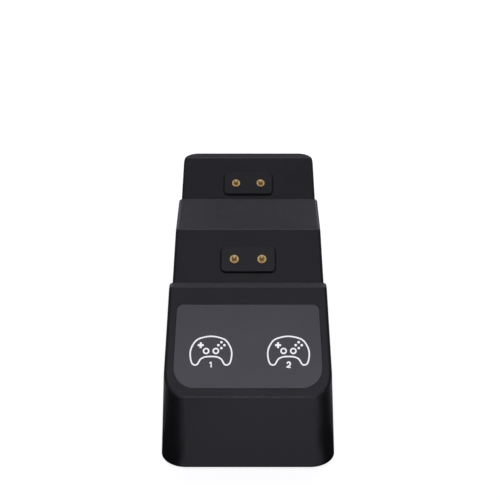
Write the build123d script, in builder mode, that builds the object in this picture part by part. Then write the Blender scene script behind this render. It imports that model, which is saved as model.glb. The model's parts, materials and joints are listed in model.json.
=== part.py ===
from build123d import *

import os
from math import cos, radians, sin, tan

# Charging dock for two game controllers that lean in it, one behind the other.
# Millimetres, +Z up. The front faces -Y, and the origin is on the table under the dock's middle.

# Housing: a drafted block with a sloping front
base_width = 58.4
top_height = 52.5
foot_gap = 1.0
draft = 3.0
corner_radius = 8.6
wall = 2.2
face_rise = 24.5
slope = 40.0
outline_round = 1.1

# Cradles: two like notches across the block, with a low front lip and a long back rest
lip_land = 6.0
lip_depth = 11.0
cradle_gap = 24.0
cradle_pitch = 66.0
rear_land = 4.8
face_top_round = 1.2
lip_round = 1.2
seat_round = 3.0
rest_top_round = 2.0

# Front panel, let into the sloping face
panel_thickness = 1.5
panel_side_margin = 3.0
panel_low_margin = 3.0
panel_top_margin = 6.1
panel_low_corner = 7.0
panel_top_corner = 2.2
panel_gap = 0.06
panel_edge_chamfer = 0.12

# Lights behind the panel's two signs
light_share = 0.436
light_up = 15.7
light_width = 15.4
light_height = 13.0
light_corner = 1.0
light_gap = 0.15
guide_length = 5.7
led_width = 3.5
led_height = 2.8
led_thickness = 1.0
led_room = 0.4
led_board_side = 0.3
led_board_end = 1.5
led_screw_spacing = 10.0

# Contact units, one in each back rest
contact_drop = 12.2
contact_spacing = 10.0
pad_width = 20.0
pad_height = 10.0
pad_corner = 2.0
pad_proud = 0.8
pad_gap = 0.15
pad_edge_chamfer = 0.4
flange_rim = 2.0
flange_thickness = 3.0
contact_screw_spacing = 33.0
contact_board_side = 3.5

# Spring contacts
barrel_radius = 1.6
barrel_proud = 0.2
barrel_bore = 1.2
barrel_lip = 0.6
barrel_end = 0.5
barrel_gap = 0.02
tip_radius = 0.9
tip_reach = 2.0
tip_gap = 0.05
collar_gap = 0.08
collar_length = 1.2
stop_gap = 0.05
spring_radius = 0.82
spring_wire = 0.13
spring_turns = 3.0

# Base cover and feet
cover_thickness = 2.6
cover_gap = 0.2
boss_radius = 3.0
boss_inset = 6.5
foot_radius = 5.0
foot_seat = 0.8
foot_inset = 8.0
foot_clearance = 0.15
foot_edge_chamfer = 0.4

# Boards and what they carry
thin_board = 1.2
main_board_thickness = 1.6
main_board_width = 28.0
main_board_depth = 38.0
main_board_gap = 0.6
post_height = 4.0
post_radius = 2.4
post_inset = 2.6
chip_size = 5.0
chip_thickness = 1.4
chip_pitch = 8.0
ribbon_width = 4.0
ribbon_thickness = 0.4
ribbon_pitch = 6.5
ribbon_bend = 2.5
ribbon_landing = 5.0

# Power inlet in the rear wall
usb_width = 8.94
usb_height = 3.2
usb_length = 7.3
usb_wall = 0.3
usb_setback = 0.4
usb_gap = 0.35
usb_base_length = 2.0
usb_tongue_width = 6.7
usb_tongue_thickness = 0.7
usb_tongue_length = 4.4
usb_fit = 0.03
port_chamfer = 0.4

# Screws: a large size for the cover and a small one for the boards
large_screw_radius = 1.3
large_screw_length = 9.0
large_head_radius = 2.5
large_head_height = 1.4
small_screw_radius = 0.9
small_screw_length = 4.0
small_head_radius = 1.7
small_head_height = 1.2
head_chamfer = 0.35
head_gap = 0.3
shank_gap = 0.2
thread_gap = 0.02
small_boss_radius = 2.2

# How far a cut runs past what it cuts
overrun = 5.0

# Directions along the slope, and the places that follow from the sizes
slope_sin = sin(radians(slope))
slope_cos = cos(radians(slope))
up_slope = Vector(0, slope_cos, slope_sin)
off_slope = Vector(0, -slope_sin, slope_cos)
lean = tan(radians(draft))
rise = top_height - foot_gap
front_wall_height = top_height - face_rise
front_wall_rise = front_wall_height - foot_gap

face_length = face_rise / slope_sin
face_run = face_length * slope_cos
cradle_mouth = cradle_gap / slope_sin
base_depth = (front_wall_rise * lean + face_run + lip_land + cradle_pitch + cradle_mouth
              + rear_land + rise * lean)
front_y = -base_depth / 2
rear_y = base_depth / 2

face_foot = Vector(0, front_y + front_wall_rise * lean, front_wall_height)
face_top = face_foot + up_slope * face_length
lip_edges = [face_top + Vector(0, lip_land + step * cradle_pitch, 0) for step in range(2)]
seats = [edge - off_slope * cradle_gap - up_slope * lip_depth for edge in lip_edges]
rest_tops = [edge + Vector(0, cradle_mouth, 0) for edge in lip_edges]

across = Vector(1, 0, 0)
face_plane = Plane(face_foot, x_dir=across, z_dir=off_slope)
contact_middles = [top - up_slope * contact_drop for top in rest_tops]
contact_planes = [Plane(middle, x_dir=across, z_dir=off_slope) for middle in contact_middles]
cradle_names = ["front", "rear"]
side_names = ["left", "right"]

cover_top = foot_gap + cover_thickness
boss_x = base_width / 2 - wall - boss_inset
boss_spots = [(side * boss_x, seat.Y) for seat in seats for side in (-1, 1)]
foot_x = base_width / 2 - wall - foot_inset
foot_y = base_depth / 2 - wall - foot_inset

board_level = cover_top + post_height
board_top = board_level + main_board_thickness
board_rear = rear_y - wall - (board_top - foot_gap) * lean - main_board_gap
board_front = board_rear - main_board_depth
board_middle = (board_front + board_rear) / 2
post_x = main_board_width / 2 - post_inset
post_y = main_board_depth / 2 - post_inset
post_spots = [(x, board_middle + y) for x in (-post_x, post_x) for y in (-post_y, post_y)]

port_level = board_top + usb_height / 2
port_mouth = rear_y - (port_level - foot_gap) * lean - usb_setback
port_plane = Plane((0, port_mouth, port_level), x_dir=(-1, 0, 0), z_dir=(0, 1, 0))

os.makedirs("parts", exist_ok=True)


def save(part, name):
    """Label a finished piece and write it under its name."""
    part.label = name
    export_step(part, f"parts/{name}.step")


def yz(point):
    """A point's place in the side view."""
    return (point.Y, point.Z)


def meet(line, other):
    """The point of the side view where two lines cross, each a point and a direction."""
    (start, along), (other_start, other_along) = line, other
    offset_between = other_start - start
    turn = along.Y * other_along.Z - along.Z * other_along.Y
    reach = (offset_between.Y * other_along.Z - offset_between.Z * other_along.Y) / turn
    return yz(start + along * reach)


def on_slope(y, start, along):
    """The point of a sloping line of the side view at this distance along Y."""
    return yz(start + along * ((y - start.Y) / along.Y))


# Outer block: the side view run across, cut to the drafted plan, with its outline rounded
ahead = front_y - overrun
behind = rear_y + overrun
side_points = [(ahead, foot_gap), on_slope(ahead, face_foot, up_slope), yz(face_top)]
side_rounds = [0, 0, face_top_round]
for edge, seat, rest_top in zip(lip_edges, seats, rest_tops):
    side_points += [yz(edge), yz(edge - up_slope * lip_depth), yz(seat), yz(rest_top)]
    side_rounds += [lip_round, seat_round, seat_round, rest_top_round]
side_points += [(behind, top_height), (behind, foot_gap)]
side_rounds += [0, 0]

with BuildPart() as block:
    with BuildSketch(Plane.YZ):
        with BuildLine():
            FilletPolyline(*side_points, radius=side_rounds, close=True)
        make_face()
    extrude(amount=base_width, both=True)
    with BuildSketch(Plane.XY.offset(foot_gap)):
        RectangleRounded(base_width, base_depth, corner_radius)
    extrude(amount=top_height, taper=draft, mode=Mode.INTERSECT)
    corners = block.faces().filter_by(GeomType.CONE)
    flats = block.faces().filter_by(GeomType.PLANE)
    sides = flats.filter_by(lambda face: abs(face.normal_at().Z) < slope_sin / 2)
    wall_edges = (corners + sides).edges()
    outline = wall_edges.filter_by(
        lambda edge: edge.center().Z > cover_top and sum(edge.is_same(other) for other in wall_edges) == 1
    )
    fillet(outline, outline_round)

# Core: the space inside the housing, the same shapes set in by the wall
slant_in = (face_foot - off_slope * (panel_thickness + wall), up_slope)
floors_in = [(seat - up_slope * wall, off_slope) for seat in seats]
rests_in = [(seat - off_slope * wall, up_slope) for seat in seats]
deck_in = (Vector(0, 0, top_height - wall), Vector(0, 1, 0))
lip_in = (lip_edges[1] + off_slope * wall, up_slope)
core_points = [
    (ahead, foot_gap),
    on_slope(ahead, *slant_in),
    meet(slant_in, floors_in[0]),
    meet(floors_in[0], rests_in[0]),
    meet(rests_in[0], deck_in),
    meet(deck_in, lip_in),
    meet(lip_in, floors_in[1]),
    meet(floors_in[1], rests_in[1]),
    meet(rests_in[1], deck_in),
    (behind, top_height - wall),
    (behind, foot_gap),
]

with BuildPart() as core:
    with BuildSketch(Plane.YZ):
        with BuildLine():
            Polyline(*core_points, close=True)
        make_face()
    extrude(amount=base_width, both=True)
    with BuildSketch(Plane.XY.offset(foot_gap)):
        RectangleRounded(base_width - 2 * wall, base_depth - 2 * wall, corner_radius - wall)
    extrude(amount=top_height, taper=draft, mode=Mode.INTERSECT)

# Posts of the housing that take the cover's screws, up to the cradle floors
with BuildPart() as bosses:
    with BuildSketch(Plane.XY.offset(cover_top)):
        with Locations(*boss_spots):
            Circle(boss_radius)
    extrude(amount=top_height)
    add(block.part, mode=Mode.INTERSECT)


def half_width(along):
    """Half the width of the sloping face at this distance up it."""
    return base_width / 2 - (front_wall_rise + along * slope_sin) * lean


def panel_outline(gap):
    """The panel's outline on the sloping face, grown by a gap."""
    low = panel_low_margin
    high = face_length - panel_top_margin
    low_x = half_width(low) - panel_side_margin
    high_x = half_width(high) - panel_side_margin
    with BuildSketch(face_plane) as drawing:
        with BuildLine():
            FilletPolyline(
                (-low_x, low), (low_x, low), (high_x, high), (-high_x, high),
                radius=[panel_low_corner, panel_low_corner, panel_top_corner, panel_top_corner],
                close=True,
            )
        make_face()
        if gap > 0:
            offset(amount=gap)
    return drawing.sketch


light_spacing = light_share * base_width
light_spots = [(-light_spacing / 2, light_up), (light_spacing / 2, light_up)]
led_screw_spots = [(0, light_up - led_screw_spacing / 2), (0, light_up + led_screw_spacing / 2)]
contact_screw_spots = [(-contact_screw_spacing / 2, 0), (contact_screw_spacing / 2, 0)]
led_board_width = light_spacing + light_width + 2 * led_board_side
led_board_height = light_height + 2 * led_board_end
led_board_depth = panel_thickness + guide_length
contact_board_width = contact_screw_spacing + 2 * contact_board_side
contact_board_height = pad_height + 2 * flange_rim
contact_board_depth = wall + flange_thickness

# Housing: one moulding with its panel seat, light windows, contact windows, posts and power inlet
with BuildPart() as housing:
    add(block.part)
    add(core.part, mode=Mode.SUBTRACT)
    add(bosses.part)
    with BuildSketch(Plane.XY.offset(cover_top)):
        with Locations(*boss_spots):
            Circle(large_screw_radius + thread_gap)
    extrude(amount=large_screw_length, mode=Mode.SUBTRACT)

    with BuildSketch(face_plane.offset(-led_board_depth)):
        with Locations(*led_screw_spots):
            Circle(small_boss_radius)
    extrude(amount=guide_length - wall / 2)
    with BuildSketch(face_plane.offset(-led_board_depth)):
        with Locations(*led_screw_spots):
            Circle(small_screw_radius + thread_gap)
    extrude(amount=small_screw_length, mode=Mode.SUBTRACT)
    extrude(panel_outline(panel_gap), amount=-panel_thickness, mode=Mode.SUBTRACT)
    with BuildSketch(face_plane.offset(-panel_thickness)):
        with Locations(*light_spots):
            RectangleRounded(light_width, light_height, light_corner)
        offset(amount=light_gap)
    extrude(amount=-2 * wall, mode=Mode.SUBTRACT)

    for plane in contact_planes:
        with BuildSketch(plane.offset(-contact_board_depth)):
            with Locations(*contact_screw_spots):
                Circle(small_boss_radius)
        extrude(amount=flange_thickness + wall / 2)
        with BuildSketch(plane.offset(-contact_board_depth)):
            with Locations(*contact_screw_spots):
                Circle(small_screw_radius + thread_gap)
        extrude(amount=small_screw_length, mode=Mode.SUBTRACT)
        with BuildSketch(plane):
            RectangleRounded(pad_width, pad_height, pad_corner)
            offset(amount=pad_gap)
        extrude(amount=-2 * wall, mode=Mode.SUBTRACT)

    with BuildSketch(port_plane.offset(overrun)):
        SlotOverall(usb_width + 2 * usb_gap, usb_height + 2 * usb_gap)
    extrude(amount=-(overrun + 2 * wall), mode=Mode.SUBTRACT)
    near_port = housing.edges().filter_by_position(Axis.Z, foot_gap, front_wall_height, (False, False))
    port_rim = near_port.filter_by_position(Axis.X, -usb_width, usb_width).filter_by_position(
        Axis.Y, port_mouth, rear_y)
    chamfer(port_rim, port_chamfer)
save(housing.part, "housing")

# Smoked panel, flush with the sloping face
with BuildPart() as front_panel:
    extrude(panel_outline(0), amount=-panel_thickness)
    chamfer(front_panel.edges().group_by(Axis(face_plane.origin, face_plane.z_dir))[-1], panel_edge_chamfer)
save(front_panel.part, "front_panel")

# Clear guides behind the signs, with a hollow at the back for each lamp
led_plane = face_plane.offset(-led_board_depth)
for side, spot in zip(side_names, light_spots):
    with BuildPart() as light_guide:
        with BuildSketch(face_plane.offset(-panel_thickness)):
            with Locations(spot):
                RectangleRounded(light_width, light_height, light_corner)
        extrude(amount=-guide_length)
        with BuildSketch(led_plane):
            with Locations(spot):
                Rectangle(led_width + 2 * led_room, led_height + 2 * led_room)
        extrude(amount=led_thickness + led_room, mode=Mode.SUBTRACT)
    save(light_guide.part, f"light_guide_{side}")

    with BuildPart() as led:
        with BuildSketch(led_plane):
            with Locations(spot):
                Rectangle(led_width, led_height)
        extrude(amount=led_thickness)
    save(led.part, f"led_{side}")

with BuildPart() as led_board:
    with BuildSketch(led_plane):
        with Locations((0, light_up)):
            Rectangle(led_board_width, led_board_height)
        with Locations(*led_screw_spots):
            Circle(small_screw_radius + shank_gap, mode=Mode.SUBTRACT)
    extrude(amount=-thin_board)
save(led_board.part, "led_board")


def pan_screws(plane, spots, shank_radius, shank_length, head_radius, head_height):
    """A group of like screws that stand on a plane, heads up."""
    with BuildPart() as screws:
        with BuildSketch(plane):
            with Locations(*spots):
                Circle(head_radius)
        extrude(amount=head_height)
        chamfer(screws.edges().group_by(Axis(plane.origin, plane.z_dir))[-1], head_chamfer)
        with BuildSketch(plane):
            with Locations(*spots):
                Circle(shank_radius)
        extrude(amount=-shank_length)
    return screws.part


def small_screws(plane, spots):
    """Board screws: their heads stand on the plane, and they go in by a board and a thread's length."""
    return pan_screws(plane, spots, small_screw_radius, small_screw_length,
                      small_head_radius, small_head_height)


led_back = Plane(face_foot - off_slope * (led_board_depth + thin_board), x_dir=across, z_dir=-off_slope)
led_back_spots = [(x, -y) for x, y in led_screw_spots]
save(small_screws(led_back, led_back_spots), "led_screws")

# Contact units: a block set into each back rest, its board and screws, and two spring contacts
contact_spots = [(-contact_spacing / 2, 0), (contact_spacing / 2, 0)]
barrel_front = pad_proud + barrel_proud
bore_front = barrel_front - barrel_lip
bore_end = barrel_end - contact_board_depth
collar_front = bore_front - stop_gap
spring_front = collar_front - collar_length

for cradle, plane in zip(cradle_names, contact_planes):
    with BuildPart() as contact_block:
        with BuildSketch(plane.offset(-wall)):
            RectangleRounded(pad_width, pad_height, pad_corner)
        extrude(amount=wall + pad_proud)
        chamfer(contact_block.edges().group_by(Axis(plane.origin, plane.z_dir))[-1], pad_edge_chamfer)
        with BuildSketch(plane.offset(-wall)):
            RectangleRounded(pad_width + 2 * flange_rim, pad_height + 2 * flange_rim, pad_corner)
        extrude(amount=-flange_thickness)
        with BuildSketch(plane.offset(pad_proud)):
            with Locations(*contact_spots):
                Circle(barrel_radius + barrel_gap)
        extrude(amount=-(pad_proud + contact_board_depth), mode=Mode.SUBTRACT)
    save(contact_block.part, f"{cradle}_contact_block")

    with BuildPart() as contact_board:
        with BuildSketch(plane.offset(-contact_board_depth)):
            Rectangle(contact_board_width, contact_board_height)
            with Locations(*contact_screw_spots):
                Circle(small_screw_radius + shank_gap, mode=Mode.SUBTRACT)
        extrude(amount=-thin_board)
    save(contact_board.part, f"{cradle}_contact_board")

    board_back = Plane(plane.origin - off_slope * (contact_board_depth + thin_board),
                       x_dir=across, z_dir=-off_slope)
    save(small_screws(board_back, contact_screw_spots), f"{cradle}_contact_screws")

    for side, spot in zip(side_names, contact_spots):
        with BuildPart() as barrel:
            with BuildSketch(plane.offset(-contact_board_depth)):
                with Locations(spot):
                    Circle(barrel_radius)
            extrude(amount=contact_board_depth + barrel_front)
            with BuildSketch(plane.offset(bore_end)):
                with Locations(spot):
                    Circle(barrel_bore)
            extrude(amount=bore_front - bore_end, mode=Mode.SUBTRACT)
            with BuildSketch(plane.offset(bore_front)):
                with Locations(spot):
                    Circle(tip_radius + tip_gap)
            extrude(amount=barrel_lip, mode=Mode.SUBTRACT)
        save(barrel.part, f"{cradle}_{side}_barrel")

        with BuildPart() as plunger:
            with BuildSketch(plane.offset(spring_front)):
                with Locations(spot):
                    Circle(barrel_bore - collar_gap)
            extrude(amount=collar_length)
            with BuildSketch(plane.offset(collar_front)):
                with Locations(spot):
                    Circle(tip_radius)
            extrude(amount=barrel_front + tip_reach - tip_radius - collar_front)
            with Locations(plane.from_local_coords((*spot, barrel_front + tip_reach - tip_radius))):
                Sphere(tip_radius)
        save(plunger.part, f"{cradle}_{side}_plunger")

        spring_length = spring_front - bore_end - 2 * spring_wire
        spring_foot = plane.from_local_coords((*spot, bore_end + spring_wire))
        with BuildPart() as spring:
            with BuildLine() as coil:
                Helix(spring_length / spring_turns, spring_length, spring_radius, spring_foot, off_slope)
            start = coil.line @ 0
            with BuildSketch(Plane(start, x_dir=start - spring_foot, z_dir=coil.line % 0)):
                Rectangle(2 * spring_wire, 2 * spring_wire)
            sweep(path=coil.line, is_frenet=True)
        save(spring.part, f"{cradle}_{side}_spring")

# Base cover, inside the housing's rim, with its screw wells, feet seats and board posts
feet = {f"foot_{end}_{side}": (x * foot_x, y * foot_y)
        for end, y in (("front", -1), ("rear", 1)) for side, x in (("left", -1), ("right", 1))}

with BuildPart() as base_cover:
    with BuildSketch(Plane.XY.offset(foot_gap)):
        RectangleRounded(base_width, base_depth, corner_radius)
        offset(amount=-(wall + cover_gap))
    extrude(amount=cover_thickness, taper=draft)
    with BuildSketch(Plane.XY.offset(cover_top)):
        with Locations(*post_spots):
            Circle(post_radius)
    extrude(amount=post_height)
    with BuildSketch(Plane.XY.offset(board_level)):
        with Locations(*post_spots):
            Circle(small_screw_radius + thread_gap)
    extrude(amount=-small_screw_length, mode=Mode.SUBTRACT)
    with BuildSketch(Plane.XY.offset(foot_gap)):
        with Locations(*feet.values()):
            Circle(foot_radius + foot_clearance)
    extrude(amount=foot_seat, mode=Mode.SUBTRACT)
    with Locations(*[Plane((x, y, foot_gap), z_dir=(0, 0, -1)) for x, y in boss_spots]):
        CounterBoreHole(large_screw_radius + shank_gap, large_head_radius + head_gap,
                        large_head_height + head_gap, cover_thickness)
save(base_cover.part, "base_cover")

head_seat = Plane((0, 0, foot_gap + large_head_height + head_gap), x_dir=across, z_dir=(0, 0, -1))
head_spots = [(x, -y) for x, y in boss_spots]
save(pan_screws(head_seat, head_spots, large_screw_radius, large_screw_length,
                large_head_radius, large_head_height), "base_screws")

for name, spot in feet.items():
    with BuildPart() as foot:
        with BuildSketch(Plane.XY):
            with Locations(spot):
                Circle(foot_radius)
        extrude(amount=foot_gap + foot_seat)
        chamfer(foot.edges().group_by(Axis.Z)[0], foot_edge_chamfer)
    save(foot.part, name)

# Main board on the cover's posts, with a charging chip for each cradle
with BuildPart() as main_board:
    with BuildSketch(Plane.XY.offset(board_level)):
        with Locations((0, board_middle)):
            Rectangle(main_board_width, main_board_depth)
        with Locations(*post_spots):
            Circle(small_screw_radius + shank_gap, mode=Mode.SUBTRACT)
    extrude(amount=main_board_thickness)
save(main_board.part, "main_board")
save(small_screws(Plane.XY.offset(board_top), post_spots), "board_screws")

for cradle, step in zip(cradle_names, (-1, 1)):
    with BuildPart() as chip:
        with BuildSketch(Plane.XY.offset(board_top)):
            with Locations((-ribbon_pitch, board_middle + step * chip_pitch / 2)):
                Rectangle(chip_size, chip_size)
        extrude(amount=chip_thickness)
    save(chip.part, f"charge_chip_{cradle}")

# Power inlet: a folded steel shell round an insulating tongue
with BuildPart() as usb_shell:
    with BuildSketch(port_plane):
        SlotOverall(usb_width, usb_height)
        SlotOverall(usb_width - 2 * usb_wall, usb_height - 2 * usb_wall, mode=Mode.SUBTRACT)
    extrude(amount=-usb_length)
save(usb_shell.part, "usb_shell")

with BuildPart() as usb_tongue:
    with BuildSketch(port_plane.offset(-usb_length)):
        SlotOverall(usb_width - 2 * (usb_wall + usb_fit), usb_height - 2 * (usb_wall + usb_fit))
    extrude(amount=usb_base_length)
    with BuildSketch(port_plane.offset(usb_base_length - usb_length)):
        Rectangle(usb_tongue_width, usb_tongue_thickness)
    extrude(amount=usb_tongue_length)
save(usb_tongue.part, "usb_tongue")

# Flat leads: each is soldered to a board at both ends and lies on the cover between them
half_ribbon = ribbon_thickness / 2
on_cover = cover_top + half_ribbon
on_board = board_top + half_ribbon


def ribbon(points, lane):
    """A flat lead through these points of the side view, in a lane beside the others."""
    with BuildPart() as lead:
        with BuildSketch(Plane.YZ.offset(lane)):
            with BuildLine() as path:
                FilletPolyline(*points, radius=ribbon_bend)
            trace(path.line, line_width=ribbon_thickness)
        extrude(amount=ribbon_width / 2, both=True)
    return lead.part


def board_end(origin, depth, half_height):
    """The first points of a lead: on a sloping board's back, and past the board's lower edge."""
    back = origin - off_slope * (depth + thin_board + half_ribbon)
    clear = half_height + ribbon_bend
    return back - up_slope * (half_height - ribbon_landing), back - up_slope * clear


to_board = [
    (board_front - ribbon_landing, on_cover),
    (board_front - ribbon_bend, on_board),
    (board_front + ribbon_landing, on_board),
]
led_start, led_clear = board_end(face_foot + up_slope * light_up, led_board_depth, led_board_height / 2)
led_points = [yz(led_start), yz(led_clear), (led_clear.Y, on_cover)]
save(ribbon(led_points + to_board, -ribbon_pitch), "led_ribbon")

contact_ends = [board_end(plane.origin, contact_board_depth, contact_board_height / 2)
                for plane in contact_planes]
front_start, front_clear = contact_ends[0]
front_points = [yz(front_start), yz(front_clear), (front_clear.Y, on_cover)]
save(ribbon(front_points + to_board, 0), "front_ribbon")

rear_start, rear_clear = contact_ends[1]
rear_end = rear_clear.Y - ribbon_landing
rear_points = [yz(rear_start), yz(rear_clear), (rear_clear.Y, on_board), (rear_end, on_board)]
save(ribbon(rear_points, ribbon_pitch), "rear_ribbon")
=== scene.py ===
import json
from math import cos, pi, radians, sin

import bmesh
import bpy
from mathutils import Matrix, Vector


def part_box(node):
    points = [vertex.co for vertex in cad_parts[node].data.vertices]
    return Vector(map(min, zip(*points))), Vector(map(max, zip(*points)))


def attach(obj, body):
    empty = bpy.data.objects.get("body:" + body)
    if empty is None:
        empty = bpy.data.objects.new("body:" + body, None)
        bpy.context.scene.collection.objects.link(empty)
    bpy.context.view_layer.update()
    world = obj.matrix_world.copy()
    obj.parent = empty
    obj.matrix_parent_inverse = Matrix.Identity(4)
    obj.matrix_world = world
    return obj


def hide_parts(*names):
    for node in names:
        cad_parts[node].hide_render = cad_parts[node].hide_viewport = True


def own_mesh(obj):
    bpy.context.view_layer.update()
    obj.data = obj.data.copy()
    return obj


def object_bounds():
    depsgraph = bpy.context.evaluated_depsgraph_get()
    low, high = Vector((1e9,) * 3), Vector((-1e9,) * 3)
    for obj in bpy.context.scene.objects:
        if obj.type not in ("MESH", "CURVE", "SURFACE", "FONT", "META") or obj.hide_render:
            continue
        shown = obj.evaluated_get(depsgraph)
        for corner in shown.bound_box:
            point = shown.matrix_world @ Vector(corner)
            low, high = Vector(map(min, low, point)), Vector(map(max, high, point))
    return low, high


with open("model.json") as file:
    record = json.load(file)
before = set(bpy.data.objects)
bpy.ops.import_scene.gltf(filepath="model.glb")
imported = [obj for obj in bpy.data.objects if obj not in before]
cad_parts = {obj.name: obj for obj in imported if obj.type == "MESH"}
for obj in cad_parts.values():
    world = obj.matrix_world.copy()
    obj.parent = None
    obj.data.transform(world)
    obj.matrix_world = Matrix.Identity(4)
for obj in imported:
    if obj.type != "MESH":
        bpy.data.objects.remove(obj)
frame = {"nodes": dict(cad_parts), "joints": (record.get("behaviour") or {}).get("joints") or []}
cad_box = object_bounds()

# Housing: one black moulding that carries all the rest. It is shot in ABS in a spark-eroded mould, which
# leaves a fine matte grain on every outer face, a little smoother where hands have been.
mm = 0.001
patches_per_grain = 0.06
patch_weight = 0.5
plastic_marks = 45.0


def new_group(name, inputs, outputs):
    """An empty shader node group: itself, the outputs of its entry, and its exit node."""
    group = bpy.data.node_groups.new(name, "ShaderNodeTree")
    for title, kind in inputs.items():
        group.interface.new_socket(title, in_out="INPUT", socket_type="NodeSocket" + kind)
    for title in outputs:
        group.interface.new_socket(title, in_out="OUTPUT", socket_type="NodeSocketFloat")
    return group, group.nodes.new("NodeGroupInput").outputs, group.nodes.new("NodeGroupOutput")


def feed(tree, socket, value):
    """Sets an input to a value, or links it to another node's output."""
    if isinstance(value, bpy.types.NodeSocket):
        tree.links.new(value, socket)
    else:
        socket.default_value = value


def fill(tree, node, **inputs):
    """Feeds a node's inputs by name."""
    for name, value in inputs.items():
        feed(tree, node.inputs[name.replace("_", " ")], value)


def add(tree, kind, **inputs):
    """Adds a node and fills its inputs."""
    node = tree.nodes.new("ShaderNode" + kind)
    fill(tree, node, **inputs)
    return node


def apply_group(tree, group, **inputs):
    """Places a node group in a material and fills its inputs."""
    node = add(tree, "Group")
    node.node_tree = group
    fill(tree, node, **inputs)
    return node.outputs


def noise(tree, place, scale, **inputs):
    """A mask of soft noise."""
    return add(tree, "TexNoise", Vector=place, Scale=scale, **inputs).outputs["Fac"]


def calculate(tree, operation, *values):
    """The result of a sum on numbers or other nodes' outputs."""
    node = add(tree, "Math")
    node.operation = operation
    for socket, value in zip(node.inputs, values):
        feed(tree, socket, value)
    return node.outputs["Value"]


def soft_step(tree, value, low, high):
    """A mask that rises softly between two limits of a value."""
    step = add(tree, "MapRange", Value=value, From_Min=low, From_Max=high)
    step.interpolation_type = "SMOOTHSTEP"
    return step.outputs["Result"]


def shades(tree, mask, dark, light):
    """A colour between two shades, by a mask."""
    ramp = add(tree, "ValToRGB", Fac=mask)
    ramp.color_ramp.elements[0].color = (*dark, 1)
    ramp.color_ramp.elements[1].color = (*light, 1)
    return ramp.outputs["Color"]


def between(tree, mask, low, high):
    """A value between two limits, by a mask."""
    return add(tree, "MapRange", Value=mask, To_Min=low, To_Max=high).outputs["Result"]


def relief(tree, height, depth, strength=1.0):
    """The surface's normals, raised and sunk by a height."""
    return add(tree, "Bump", Height=height, Distance=depth, Strength=strength).outputs["Normal"]


def new_finish(name):
    """A new material: itself, its node tree, its shader and the piece's own coordinates."""
    finish = bpy.data.materials.new(name)
    finish.use_nodes = True
    tree = finish.node_tree
    return finish, tree, tree.nodes["Principled BSDF"], add(tree, "TexCoord").outputs["Object"]


def coat(finish, *pieces):
    """Gives pieces a finish."""
    for piece in pieces:
        piece.data.materials.clear()
        piece.data.materials.append(finish)


def dress(finish, *nodes):
    """Gives CAD nodes a finish, by their names."""
    coat(finish, *[frame["nodes"][node] for node in nodes])


# Mould grain: fine pits from the sparks, in patches that are slightly deeper or shallower
grain, entry, leave = new_group(
    "mould_grain", {"Vector": "Vector", "Grains per metre": "Float"}, ["Height", "Patch"])
patch_scale = calculate(grain, "MULTIPLY", entry["Grains per metre"], patches_per_grain)
fill(grain, leave,
     Height=noise(grain, entry["Vector"], entry["Grains per metre"], Detail=3.0, Roughness=0.65),
     Patch=noise(grain, entry["Vector"], patch_scale, Detail=2.0))

# Handling: broad soft smudges where fingers have wiped the surface
handling, entry, leave = new_group(
    "handling_marks", {"Vector": "Vector", "Marks per metre": "Float"}, ["Mask"])
smears = noise(handling, entry["Vector"], entry["Marks per metre"],
               Detail=4.0, Roughness=0.55, Distortion=0.8)
fill(handling, leave, Mask=soft_step(handling, smears, low=0.35, high=0.7))


def moulded(name, dark, light, smooth, rough, grains, depth):
    """A moulded plastic with mould grain, smoother where it has been handled."""
    finish, tree, shader, place = new_finish(name)
    skin = apply_group(tree, grain, Vector=place, Grains_per_metre=grains)
    marks = apply_group(tree, handling, Vector=place, Marks_per_metre=plastic_marks)
    unworn = between(tree, marks["Mask"], low=1 - patch_weight, high=0.0)
    dullness = calculate(tree, "MULTIPLY_ADD", skin["Patch"], patch_weight, unworn)
    fill(tree, shader, Base_Color=shades(tree, skin["Patch"], dark, light),
         Roughness=between(tree, dullness, smooth, rough), Normal=relief(tree, skin["Height"], depth))
    return finish


housing_black = moulded("housing_black", dark=(0.0058, 0.0056, 0.0068), light=(0.0082, 0.0079, 0.0095),
                        smooth=0.3, rough=0.44, grains=2200.0, depth=0.06 * mm)
dress(housing_black, "housing")

# Contact units: in each back rest a satin black block holds two gold-plated spring contacts, whose domed
# plungers slide in turned barrels over a small coil spring. A board is screwed on behind.
cradles = ["front", "rear"]
sides = ["left", "right"]
contacts = [f"{cradle}_{side}" for cradle in cradles for side in sides]
haze_scale = 900.0

contact_black = moulded("contact_black", dark=(0.013, 0.013, 0.014), light=(0.018, 0.018, 0.02),
                        smooth=0.3, rough=0.4, grains=7000.0, depth=0.006 * mm)
dress(contact_black, *[f"{cradle}_contact_block" for cradle in cradles])

# Scratches: fine stretched noise, as tools and wiping leave on metal
scratches, entry, leave = new_group(
    "scratches", {"Vector": "Vector", "Lines per metre": "Float", "Stretch": "Vector"}, ["Height", "Haze"])
stretched = add(scratches, "Mapping", Vector=entry["Vector"], Scale=entry["Stretch"]).outputs["Vector"]
fill(scratches, leave,
     Height=noise(scratches, stretched, entry["Lines per metre"], Detail=3.0, Roughness=0.7),
     Haze=noise(scratches, entry["Vector"], haze_scale, Detail=2.0))


def metal(name, dark, light, smooth, rough, lines, stretch, depth, metallic=1.0):
    """A bare, plated or blackened metal with fine scratches and a slight haze."""
    finish, tree, shader, place = new_finish(name)
    marks = apply_group(tree, scratches, Vector=place, Lines_per_metre=lines, Stretch=stretch)
    fill(tree, shader, Metallic=metallic, Base_Color=shades(tree, marks["Haze"], dark, light),
         Roughness=between(tree, marks["Height"], smooth, rough),
         Normal=relief(tree, marks["Height"], depth))
    return finish


contact_gold = metal("contact_gold", dark=(0.9, 0.64, 0.27), light=(1.0, 0.77, 0.38),
                     smooth=0.4, rough=0.6, lines=9000.0, stretch=(1.0, 1.0, 0.25), depth=0.004 * mm)
dress(contact_gold, *[f"{name}_{part}" for name in contacts for part in ("barrel", "plunger")])

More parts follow.
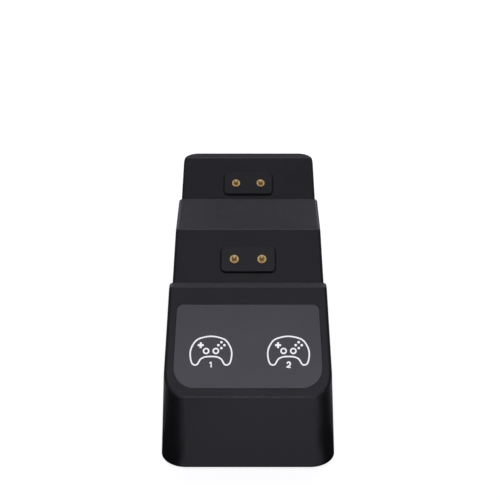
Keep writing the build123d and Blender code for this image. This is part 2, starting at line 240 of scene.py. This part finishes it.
# Contact springs: steel wire wound into a coil that stands in each barrel, between its floor and the collar
# of the plunger. The real spring shortens as the plunger is pressed in; this coil is fixed to the dock and
# keeps one length.
off_face = -Vector(frame["joints"][0]["axis"]).normalized()
across = Vector((1, 0, 0))
up_face = off_face.cross(across)
coil_turns = 5
steps_in_turn = 28
wire_radius = 0.12 * mm
wire_sides = 10
end_room = 0.01 * mm


def reach(node, way):
    """How far a CAD node reaches along a direction, lowest and highest."""
    marks = [way.dot(vertex.co) for vertex in frame["nodes"][node].data.vertices]
    return min(marks), max(marks)


def select(*pieces):
    """Selects only these pieces and makes the first one active."""
    bpy.ops.object.select_all(action="DESELECT")
    for piece in pieces:
        piece.select_set(True)
    bpy.context.view_layer.objects.active = pieces[0]


def settle(*pieces):
    """Puts the place, turn and scale of pieces into their meshes."""
    select(*pieces)
    bpy.ops.object.transform_apply(location=True, rotation=True, scale=True)


def lay_on_face(piece, spot):
    """Turns a piece so that its top points off the sloping faces, and sets it down at a spot."""
    piece.matrix_world = Matrix.Translation(spot) @ Matrix((across, up_face, off_face)).transposed().to_4x4()
    settle(piece)


def copies(piece, count):
    """A list of the piece and its copies, each with its own mesh."""
    pieces = [piece]
    while len(pieces) < count:
        copy = piece.copy()
        copy.data = piece.data.copy()
        bpy.context.collection.objects.link(copy)
        pieces.append(copy)
    return pieces


left, right = reach("front_left_spring", across)
foot, top = reach("front_left_spring", off_face)
coil_radius = (right - left) / 2 - wire_radius
coil_length = top - foot - 2 * end_room
bpy.ops.object.select_all(action="DESELECT")
bpy.ops.mesh.primitive_circle_add(vertices=wire_sides, radius=wire_radius,
                                  location=(coil_radius, 0, wire_radius), rotation=(pi / 2, 0, 0))
coil = bpy.context.object
settle(coil)
winding = coil.modifiers.new("winding", "SCREW")
winding.screw_offset = (coil_length - 2 * wire_radius) / coil_turns
winding.iterations = coil_turns
winding.steps = winding.render_steps = steps_in_turn
bpy.ops.object.modifier_apply(modifier=winding.name)
bpy.ops.object.mode_set(mode="EDIT")
bpy.ops.mesh.select_all(action="DESELECT")
bpy.ops.mesh.select_non_manifold()
bpy.ops.mesh.fill_holes(sides=0)
bpy.ops.mesh.select_all(action="SELECT")
bpy.ops.mesh.normals_make_consistent(inside=False)
bpy.ops.object.mode_set(mode="OBJECT")
bpy.ops.object.shade_smooth_by_angle(angle=radians(50))

spring_steel = metal("spring_steel", dark=(0.42, 0.42, 0.43), light=(0.58, 0.58, 0.6),
                     smooth=0.2, rough=0.36, lines=14000.0, stretch=(0.2, 1.0, 1.0), depth=0.003 * mm)
coat(spring_steel, coil)
for name, spring in zip(contacts, copies(coil, len(contacts))):
    node = f"{name}_spring"
    left, right = reach(node, across)
    under, over = reach(node, up_face)
    foot, top = reach(node, off_face)
    spot = across * (left + right) / 2 + up_face * (under + over) / 2 + off_face * (foot + end_room)
    lay_on_face(spring, spot)
    spring.name = f"{name}_coil"
    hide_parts(node)
    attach(spring, "dock")
    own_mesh(spring)

# Boards and small screws: green lacquer over woven glass, which shows through as a fine square weave.
# Zinc-plated screws hold each board to its posts.
weave_contrast = 0.25

zinc_steel = metal("zinc_steel", dark=(0.5, 0.51, 0.53), light=(0.66, 0.67, 0.7),
                   smooth=0.22, rough=0.42, lines=6000.0, stretch=(1.0, 0.3, 1.0), depth=0.006 * mm)
dress(zinc_steel, "led_screws", "board_screws", *[f"{cradle}_contact_screws" for cradle in cradles])

board_green, tree, shader, place = new_finish("board_green")
weave = add(tree, "TexChecker", Vector=place, Scale=1600.0).outputs["Fac"]
cloud = apply_group(tree, handling, Vector=place, Marks_per_metre=160.0)
lacquer = between(tree, cloud["Mask"], low=0.2, high=0.7)
thread = calculate(tree, "MULTIPLY_ADD", weave, weave_contrast, lacquer)
fill(tree, shader, Base_Color=shades(tree, thread, dark=(0.008, 0.05, 0.026), light=(0.02, 0.105, 0.05)),
     Roughness=between(tree, cloud["Mask"], low=0.25, high=0.42),
     Normal=relief(tree, weave, depth=0.004 * mm, strength=0.5))
dress(board_green, "led_board", "main_board", *[f"{cradle}_contact_board" for cradle in cradles])

# Lights: behind each sign a clear guide block spreads the light of a small lamp. The guides are moulded in
# clear acrylic, and the lamps are potted in pale yellow resin on their own board.
guide_clear, tree, shader, place = new_finish("guide_clear")
flow = apply_group(tree, handling, Vector=place, Marks_per_metre=220.0)
fill(tree, shader, IOR=1.49, Transmission_Weight=0.8,
     Base_Color=shades(tree, flow["Mask"], dark=(0.82, 0.84, 0.86), light=(0.92, 0.93, 0.94)),
     Roughness=between(tree, flow["Mask"], low=0.08, high=0.2))
dress(guide_clear, *[f"light_guide_{side}" for side in sides])

lamp_resin, tree, shader, place = new_finish("lamp_resin")
speckle = noise(tree, place, 9000.0, Detail=2.0)
fill(tree, shader, Base_Color=shades(tree, speckle, dark=(0.7, 0.56, 0.16), light=(0.86, 0.76, 0.36)),
     Roughness=between(tree, speckle, low=0.3, high=0.5))
dress(lamp_resin, *[f"led_{side}" for side in sides])

# Front panel: a thin smoked plate let flush into the sloping front. It is moulded in tinted acrylic with a
# satin face that shows faint wiping marks, and it snaps into its seat.
panel_smoke, tree, shader, place = new_finish("panel_smoke")
wiped = apply_group(tree, handling, Vector=place, Marks_per_metre=70.0)
satin = apply_group(tree, grain, Vector=place, Grains_per_metre=11000.0)
fill(tree, shader,
     Base_Color=shades(tree, satin["Patch"], dark=(0.09, 0.089, 0.096), light=(0.1, 0.099, 0.106)),
     Roughness=between(tree, wiped["Mask"], low=0.33, high=0.28),
     Normal=relief(tree, satin["Height"], depth=0.003 * mm))
dress(panel_smoke, "front_panel")

# Signs: a line drawing of a gamepad and a number over each light, screen printed on the panel in white ink
# that stands a few hundredths proud. Its faint glow is painted into the ink as emission, in place of the
# light of the lamp behind it.
face_level = reach("front_panel", off_face)[1]
facing = 0.9
print_shift = 0.6 * mm
line_width = 0.5 * mm
line_steps = 10
ink_height = 0.04 * mm
# Right half of the gamepad's outline in millimetres, from its shoulder round to the middle of its lower edge
half_outline = [(3.2, 4.5), (5.5, 2.9), (6.7, -2.4), (5.2, -4.8), (3.0, -2.5), (0, -1.9)]
pad_outline = half_outline + [(-x, y) for x, y in half_outline[-2::-1]]
stick_radius = 0.85 * mm
stick_spots = [(-1.6 * mm, 0, 0), (1.6 * mm, 0, 0)]
cross_arm = 0.66 * mm
cross_spot = (-3.4 * mm, 2.0 * mm, 0)
dot_radius = 0.42 * mm
dot_sides = 28
dots_middle = Vector((3.4 * mm, 2.0 * mm, 0))
dots_ring = 1.0 * mm
dot_turns = [turn * pi / 2 for turn in range(4)]
dot_spots = [dots_middle + dots_ring * Vector((cos(turn), sin(turn), 0)) for turn in dot_turns]
number_spot = (0, -4.7 * mm, 0)
# A number's line in millimetres: smooth points, and corners that are marked True
number_lines = {
    "1": [(-0.45, 0.5, True), (0.1, 0.9, True), (0.1, -0.9, True)],
    "2": [(-0.55, 0.4, False), (0, 0.9, False), (0.55, 0.35, False), (-0.6, -0.9, True), (0.65, -0.9, True)],
}


def pick_faces(piece, test):
    """In edit mode, selects only the faces whose centre and normal pass the test."""
    mesh = bmesh.from_edit_mesh(piece.data)
    bpy.ops.mesh.select_all(action="DESELECT")
    for face in mesh.faces:
        if test(face.calc_center_median(), face.normal):
            face.select_set(True)
    bmesh.update_edit_mesh(piece.data)


def pull_arms(block, width, length):
    """In edit mode, draws an arm out of each of the four sides of a square block at the origin."""
    for way in (Vector((1, 0, 0)), Vector((0, 1, 0)), Vector((-1, 0, 0)), Vector((0, -1, 0))):
        pick_faces(block, lambda centre, normal: normal.dot(way) > facing and centre.dot(way) > 0
                   and (centre - way * way.dot(centre)).length < width / 4)
        bpy.ops.mesh.extrude_region_move(TRANSFORM_OT_translate={"value": way * length})


def ink_tube(curve):
    """Makes a curve an ink line: a round tube, made a mesh and pressed nearly flat."""
    curve.data.dimensions = "3D"
    curve.data.resolution_u = line_steps
    curve.data.bevel_depth = line_width / 2
    curve.data.bevel_resolution = 2
    curve.data.use_fill_caps = True
    bpy.ops.object.convert(target="MESH")
    tube = bpy.context.object
    tube.scale.z = ink_height / line_width
    settle(tube)
    return tube


def draw_line(points):
    """Sets the points of the curve that was just added, smooth or as corners, and makes it an ink line."""
    curve = bpy.context.object
    spline = curve.data.splines[0]
    spline.bezier_points.add(len(points) - len(spline.bezier_points))
    for point, (x, y, corner) in zip(spline.bezier_points, points):
        point.co = (x * mm, y * mm, 0)
        point.handle_left_type = point.handle_right_type = "VECTOR" if corner else "AUTO"
    return ink_tube(curve)


def draw_outline():
    """The gamepad's outline as one smooth closed line."""
    bpy.ops.curve.primitive_bezier_circle_add()
    return draw_line([(x, y, False) for x, y in pad_outline])


def draw_stick():
    """A thumb stick as a ring."""
    bpy.ops.curve.primitive_bezier_circle_add(radius=stick_radius)
    return ink_tube(bpy.context.object)


def draw_cross():
    """A direction cross: a flat square with an arm drawn out of each side."""
    bpy.ops.mesh.primitive_cube_add(size=cross_arm)
    cross = bpy.context.object
    cross.scale.z = ink_height / cross_arm
    settle(cross)
    bpy.ops.object.mode_set(mode="EDIT")
    pull_arms(cross, width=cross_arm, length=cross_arm)
    bpy.ops.object.mode_set(mode="OBJECT")
    return cross


def draw_dot():
    """A button as a round dot with a soft upper edge."""
    bpy.ops.mesh.primitive_cylinder_add(vertices=dot_sides, radius=dot_radius, depth=ink_height)
    dot = bpy.context.object
    bpy.ops.object.mode_set(mode="EDIT")
    pick_faces(dot, lambda centre, normal: normal.z > facing)
    bpy.ops.mesh.bevel(offset=ink_height / 3, segments=2, affect="EDGES")
    bpy.ops.object.mode_set(mode="OBJECT")
    return dot


def draw_number(number):
    """A plain number between the gamepad's grips, as one open line."""
    bpy.ops.curve.primitive_bezier_curve_add(location=number_spot)
    return draw_line(number_lines[number])


def spread(piece, spots):
    """Sets a piece and its copies down at these spots."""
    pieces = copies(piece, len(spots))
    for copy, spot in zip(pieces, spots):
        copy.location = spot
    settle(*pieces)
    return pieces


def join(name, *pieces):
    """Joins pieces into one, under a name."""
    select(*pieces)
    bpy.ops.object.join()
    pieces[0].name = name
    return pieces[0]


sign_white, tree, shader, place = new_finish("sign_white")
ink = apply_group(tree, grain, Vector=place, Grains_per_metre=9000.0)
# Painted glow: the ink's emission stands in for the light of the lamp behind it
fill(tree, shader, Emission_Strength=0.6,
     Base_Color=shades(tree, ink["Patch"], dark=(0.78, 0.78, 0.78), light=(0.84, 0.84, 0.84)),
     Emission_Color=shades(tree, ink["Patch"], dark=(0.9, 0.92, 0.94), light=(1.0, 1.0, 1.0)),
     Roughness=between(tree, ink["Height"], low=0.45, high=0.6),
     Normal=relief(tree, ink["Height"], depth=0.004 * mm, strength=0.6))

bpy.ops.object.select_all(action="DESELECT")
sticks = spread(draw_stick(), stick_spots)
crosses = spread(draw_cross(), [cross_spot])
dots = spread(draw_dot(), dot_spots)
gamepad = join("gamepad", draw_outline(), *sticks, *crosses, *dots)
for side, number, drawing in zip(sides, number_lines, copies(gamepad, len(sides))):
    sign = join(f"sign_{side}", drawing, draw_number(number))
    guide_low, guide_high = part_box(f"light_guide_{side}")
    guide_middle = (guide_low + guide_high) / 2
    lift = face_level - off_face.dot(guide_middle) + ink_height / 2
    lay_on_face(sign, guide_middle + off_face * lift + across * print_shift)
    coat(sign_white, sign)
    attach(sign, "dock")

# Charging electronics: the main board stands on the cover's posts with a black potted chip for each cradle,
# and grey flat leads run from it to the lights and the contacts.
chip_black = moulded("chip_black", dark=(0.012, 0.012, 0.012), light=(0.02, 0.02, 0.02),
                     smooth=0.45, rough=0.6, grains=9000.0, depth=0.008 * mm)
dress(chip_black, *[f"charge_chip_{cradle}" for cradle in cradles])

ribbon_grey, tree, shader, place = new_finish("ribbon_grey")
ridges = add(tree, "TexWave", Vector=place, Scale=320.0, Distortion=0.0)
ridges.bands_direction = "X"
ridges_and_groove_shade = ridges.outputs["Fac"]
# Painted shade: the leads' colour is darker in the grooves between the ridges and lighter on their tops
fill(tree, shader, Base_Color=shades(tree, ridges_and_groove_shade, dark=(0.3, 0.3, 0.32), light=(0.46, 0.46, 0.48)),
     Roughness=between(tree, ridges_and_groove_shade, low=0.4, high=0.55), Normal=relief(tree, ridges_and_groove_shade, depth=0.05 * mm))
dress(ribbon_grey, "led_ribbon", *[f"{cradle}_ribbon" for cradle in cradles])

# Power inlet: a shell folded from plated sheet round a black tongue, soldered to the main board behind a
# slot in the rear wall. The tongue carries a row of gold pads on each face.
pads_in_row = 12
pad_pitch = 0.5 * mm
pad_width = 0.26 * mm
pad_length = 3.2 * mm
pad_height = 0.03 * mm
pad_inset = 0.3 * mm
tongue_half_thickness = 0.35 * mm

inlet_steel = metal("inlet_steel", dark=(0.45, 0.45, 0.46), light=(0.62, 0.62, 0.64),
                    smooth=0.24, rough=0.42, lines=9000.0, stretch=(1.0, 0.15, 1.0), depth=0.005 * mm)
dress(inlet_steel, "usb_shell")
inlet_black = moulded("inlet_black", dark=(0.012, 0.012, 0.013), light=(0.02, 0.02, 0.021),
                      smooth=0.35, rough=0.5, grains=9000.0, depth=0.004 * mm)
dress(inlet_black, "usb_tongue")

bpy.ops.object.select_all(action="DESELECT")
bpy.ops.mesh.primitive_cube_add(size=1, scale=(pad_width, pad_length, 2 * pad_height))
pad = bpy.context.object
settle(pad)
bpy.ops.object.mode_set(mode="EDIT")
bpy.ops.mesh.select_all(action="SELECT")
bpy.ops.mesh.bevel(offset=pad_height / 2, segments=1, affect="EDGES")
bpy.ops.object.mode_set(mode="OBJECT")

tongue_low, tongue_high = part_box("usb_tongue")
tongue_middle = (tongue_low + tongue_high) / 2
pad_y = tongue_high.y - pad_inset - pad_length / 2
pad_row = [tongue_middle.x + (step - (pads_in_row - 1) / 2) * pad_pitch for step in range(pads_in_row)]
pad_levels = [tongue_middle.z + face * tongue_half_thickness for face in (-1, 1)]
inlet_pads = join("inlet_pads", *spread(pad, [(x, pad_y, z) for z in pad_levels for x in pad_row]))
coat(contact_gold, inlet_pads)
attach(inlet_pads, "dock")

# Base cover: a flat plate that closes the housing from below, inside its rim, and carries the main board. It
# is moulded in black plastic with a duller and finer grain than the housing's, and four screws hold it.
cover_black = moulded("cover_black", dark=(0.015, 0.015, 0.016), light=(0.02, 0.02, 0.021),
                      smooth=0.45, rough=0.62, grains=3600.0, depth=0.025 * mm)
dress(cover_black, "base_cover")

# Cover screws: four self-tapping screws of blackened steel, with a cross recess in a low rounded head. They
# sit in wells in the cover and cut their own thread in the housing's posts.
head_radius = 2.5 * mm
head_height = 1.4 * mm
head_round = 0.55 * mm
head_sides = 48
shank_radius = 1.3 * mm
core_radius = 1.0 * mm
thread_pitch = 1.0 * mm
recess_width = 0.75 * mm
recess_reach = 1.5 * mm
recess_depth = 0.95 * mm
recess_taper = 0.55
screws_low, screws_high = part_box("base_screws")
shank_length = screws_high.z - screws_low.z - head_height

bpy.ops.object.select_all(action="DESELECT")
bpy.ops.mesh.primitive_cylinder_add(vertices=head_sides, radius=head_radius, depth=head_height,
                                    location=(0, 0, head_height / 2))
screw = bpy.context.object
settle(screw)
bpy.ops.object.mode_set(mode="EDIT")
pick_faces(screw, lambda centre, normal: normal.z < -facing)
bpy.ops.mesh.bevel(offset=head_round, segments=5, affect="EDGES")
pick_faces(screw, lambda centre, normal: normal.z > facing)
bpy.ops.mesh.inset(thickness=head_radius - core_radius)
level = head_height
for turn in range(int(shank_length / thread_pitch)):
    for growth in (shank_radius / core_radius, core_radius / shank_radius):
        level += thread_pitch / 2
        bpy.ops.mesh.extrude_region_move(TRANSFORM_OT_translate={"value": (0, 0, thread_pitch / 2)})
        bpy.ops.transform.resize(value=(growth, growth, 1), center_override=(0, 0, level))
bpy.ops.object.mode_set(mode="OBJECT")

bpy.ops.object.select_all(action="DESELECT")
bpy.ops.mesh.primitive_cube_add(size=recess_width)
driver = bpy.context.object
bpy.ops.object.mode_set(mode="EDIT")
pull_arms(driver, width=recess_width, length=recess_reach - recess_width / 2)
pick_faces(driver, lambda centre, normal: normal.z > facing)
bpy.ops.transform.translate(value=(0, 0, recess_depth - recess_width / 2))
bpy.ops.transform.resize(value=(recess_taper, recess_taper, 1), center_override=(0, 0, recess_depth))
bpy.ops.object.mode_set(mode="OBJECT")
select(screw)
cut = screw.modifiers.new("cross_recess", "BOOLEAN")
cut.object = driver
cut.operation = "DIFFERENCE"
cut.solver = "EXACT"
bpy.ops.object.modifier_apply(modifier=cut.name)
bpy.data.objects.remove(driver)

screw_spots = [(x, y, screws_low.z) for x in (screws_low.x + head_radius, screws_high.x - head_radius)
               for y in (screws_low.y + head_radius, screws_high.y - head_radius)]
screw = join("cross_head_screws", *spread(screw, screw_spots))
bpy.ops.object.shade_smooth_by_angle(angle=radians(35))
screw_black = metal("screw_black", dark=(0.03, 0.03, 0.032), light=(0.07, 0.07, 0.072), metallic=0.8,
                    smooth=0.3, rough=0.5, lines=5000.0, stretch=(1.0, 1.0, 0.3), depth=0.006 * mm)
coat(screw_black, screw)
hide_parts("base_screws")
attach(screw, "dock")

# Feet: four discs of black rubber that keep the dock from sliding. They are punched from sheet and pressed
# into shallow seats in the cover, and their soles are slightly dusty.
foot_rubber, tree, shader, place = new_finish("foot_rubber")
dust = apply_group(tree, handling, Vector=place, Marks_per_metre=420.0)
skin = apply_group(tree, grain, Vector=place, Grains_per_metre=2600.0)
fill(tree, shader,
     Base_Color=shades(tree, dust["Mask"], dark=(0.012, 0.012, 0.012), light=(0.028, 0.027, 0.026)),
     Roughness=between(tree, skin["Patch"], low=0.75, high=0.92),
     Normal=relief(tree, skin["Height"], depth=0.02 * mm))
dress(foot_rubber, *[f"foot_{contact}" for contact in contacts])

# Studio: a pale floor that runs into a white background. Soft lights stand over the dock and behind it, and
# pale cards lie on the floor before each wall, so that every wall reflects one. The front corners reflect
# little of them and turn dark.
floor_size = 6
floor_drop = 0.02 * mm
light_tint = (0.9, 0.87, 1.0)
dock_middle = (0, 0, 0.03)
bpy.context.scene.view_settings.view_transform = "Standard"

bpy.ops.object.select_all(action="DESELECT")
bpy.ops.mesh.primitive_plane_add(size=floor_size, location=(0, 0, cad_box[0].z - floor_drop))
floor = bpy.context.object
floor.name = "floor"
floor_white, tree, shader, place = new_finish("floor_white")
seen = add(tree, "LightPath").outputs["Is Camera Ray"]
fill(tree, shader, Roughness=0.9, Specular_IOR_Level=0.0, Emission_Strength=1.0,
     Base_Color=shades(tree, seen, dark=(0.05, 0.05, 0.05), light=(0.5, 0.5, 0.5)),
     Emission_Color=shades(tree, seen, dark=(0, 0, 0), light=(0.86, 0.86, 0.86)))
coat(floor_white, floor)

world = bpy.data.worlds.new("studio")
world.use_nodes = True
bpy.context.scene.world = world
tree = world.node_tree
sky = add(tree, "SeparateXYZ", Vector=add(tree, "TexCoord").outputs["Generated"])
overhead = soft_step(tree, sky.outputs["Z"], low=0.3, high=1.0)
dome = shades(tree, overhead, dark=(0.13, 0.126, 0.143), light=(0.24, 0.232, 0.264))
seen = add(tree, "LightPath").outputs["Is Camera Ray"]
room = add(tree, "MixRGB", Fac=seen, Color1=dome, Color2=(1, 1, 1, 1))
fill(tree, tree.nodes["Background"], Color=room.outputs["Color"])


def soft_light(name, place, size, brightness, target=dock_middle):
    """A soft light of this size and brightness that points at a target and stays out of the picture."""
    bpy.ops.object.light_add(type="AREA", location=place)
    light = bpy.context.object
    light.name = name
    light.data.shape = "RECTANGLE"
    light.data.size, light.data.size_y = size
    light.data.energy = brightness * pi * size[0] * size[1]
    light.data.color = light_tint
    light.rotation_euler = (Vector(target) - Vector(place)).to_track_quat("-Z", "Y").to_euler()
    light.visible_camera = False


soft_light("front_light", place=(0, -0.64, 0.79), size=(0.4, 0.6), brightness=1.3)
soft_light("low_light", place=(0, -0.96, 0.3), size=(0.3, 0.5), brightness=2.7)
soft_light("edge_light", place=(0, 0.35, 0.9), size=(0.5, 0.3), brightness=2.1)
for x in (-0.45, 0.45):
    soft_light("rear_light", place=(x, 1.0, 0.6), size=(0.5, 0.5), brightness=2.0)

card_level = 0.3 * mm
card_gap = 0.5 * mm
card_reach = 0.32
card_glow = 0.75
edge_x = cad_box[1].x + card_gap
edge_y = cad_box[1].y + card_gap


def floor_card(name, x_ends, y_ends, brightness):
    """A pale card that lies on the floor between these ends and shines upwards."""
    x = sum(x_ends) / 2
    y = sum(y_ends) / 2
    size = (abs(x_ends[1] - x_ends[0]), abs(y_ends[1] - y_ends[0]))
    soft_light(name, (x, y, card_level), size, brightness, target=(x, y, 1))


# The front card lies in strips that fan out, more to the right, and grow brighter away from the wall
strip_ends = [0, 0.015, 0.04, 0.09, card_reach]
strip_glow = [0.47, 0.54, 0.59, 0.63]
fan_left = -0.0219
fan_right = 0.0252
left_spread = -0.31
right_spread = 0.9
for near, far, glow in zip(strip_ends, strip_ends[1:], strip_glow):
    middle = (near + far) / 2
    x_ends = (fan_left + left_spread * middle, fan_right + right_spread * middle)
    floor_card("front_card", x_ends, (-edge_y - near, -edge_y - far), glow)

# The side cards fade out before the front corners, and reach on only where the corners don't reflect them
side_ends = [-0.055, -0.04, -0.025, -0.01, edge_y]
side_glow = [0.15, 0.35, 0.55, card_glow]
far_start = 0.15
far_front = -0.16
floor_card("rear_card", (-card_reach, card_reach), (edge_y, edge_y + card_reach), card_glow)
for way in (-1, 1):
    for front, rear, glow in zip(side_ends, side_ends[1:], side_glow):
        floor_card("side_card", (way * edge_x, way * far_start), (front, rear), glow)
    floor_card("far_card", (way * far_start, way * card_reach), (far_front, edge_y), card_glow)

camera_place = (0.00069, -0.40854, 0.25798)
camera_tilt = radians(62.353)
bpy.ops.object.camera_add(location=camera_place, rotation=(camera_tilt, 0, 0))
camera = bpy.context.object
camera.data.sensor_width = 36
camera.data.lens = 89.95
bpy.context.scene.camera = camera
